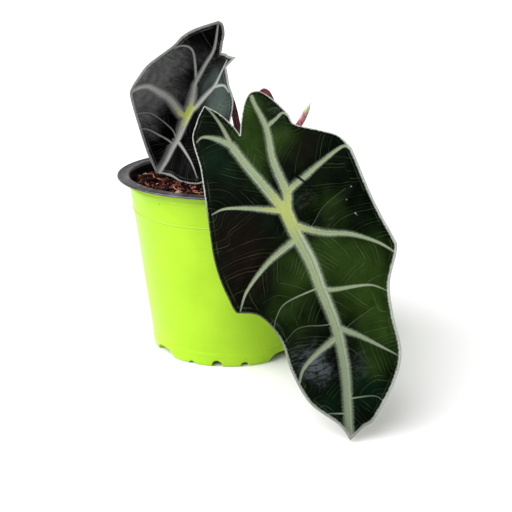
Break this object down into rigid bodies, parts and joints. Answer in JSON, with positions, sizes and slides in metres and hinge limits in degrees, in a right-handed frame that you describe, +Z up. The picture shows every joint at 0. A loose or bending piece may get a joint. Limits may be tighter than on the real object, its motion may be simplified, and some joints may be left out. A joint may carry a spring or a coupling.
{
  "type": "potted alocasia",
  "caption": "Small potted alocasia with dark arrow-shaped leaves with pale veins and a rolled new leaf, in a lime green nursery pot filled with coarse bark soil.",
  "frame": {"origin": "middle of the whole plant's box, seen from above, at the height of the pot's foot; the pot's own axis stands at x -0.0103, y 0.0401", "axes": "+Z up; -Y towards the viewer of the picture, the way the large leaf hangs; +X to the viewer's right"},
  "size_m": [0.1604, 0.2202, 0.2043],
  "materials": {
    "pot_plastic": "satin gloss lime green outside, black inside and on the lip",
    "soil": "rough, moist bark and coir",
    "rootstock": "rough, ringed by leaf scars",
    "stem": "waxy, mottled burgundy",
    "shoot": "satin, pink at the foot to pale green at the tip",
    "large_blade": "satin, puckered between the veins",
    "small_blade": "satin with a grey sheen",
    "sheath": "papery",
    "bark": "rough",
    "perlite": "rough, chalky"
  },
  "bodies": {
    "root": {"pot": "pot_plastic", "soil": "soil", "rhizome": "rootstock", "petiole_large": "stem", "petiole_small": "stem", "new_shoot": "shoot", "blade_large": "large_blade", "blade_small": "small_blade", "sheath_large": "sheath", "sheath_small": "sheath", "sheath_shoot": "sheath", "bark_chip_1": "bark", "bark_chip_2": "bark", "bark_chip_3": "bark", "bark_chip_4": "bark", "bark_chip_5": "bark", "bark_chip_6": "bark", "bark_chip_7": "bark", "bark_chip_8": "bark", "perlite_1": "perlite", "perlite_2": "perlite", "perlite_3": "perlite", "perlite_4": "perlite"}
  },
  "joints": []
}
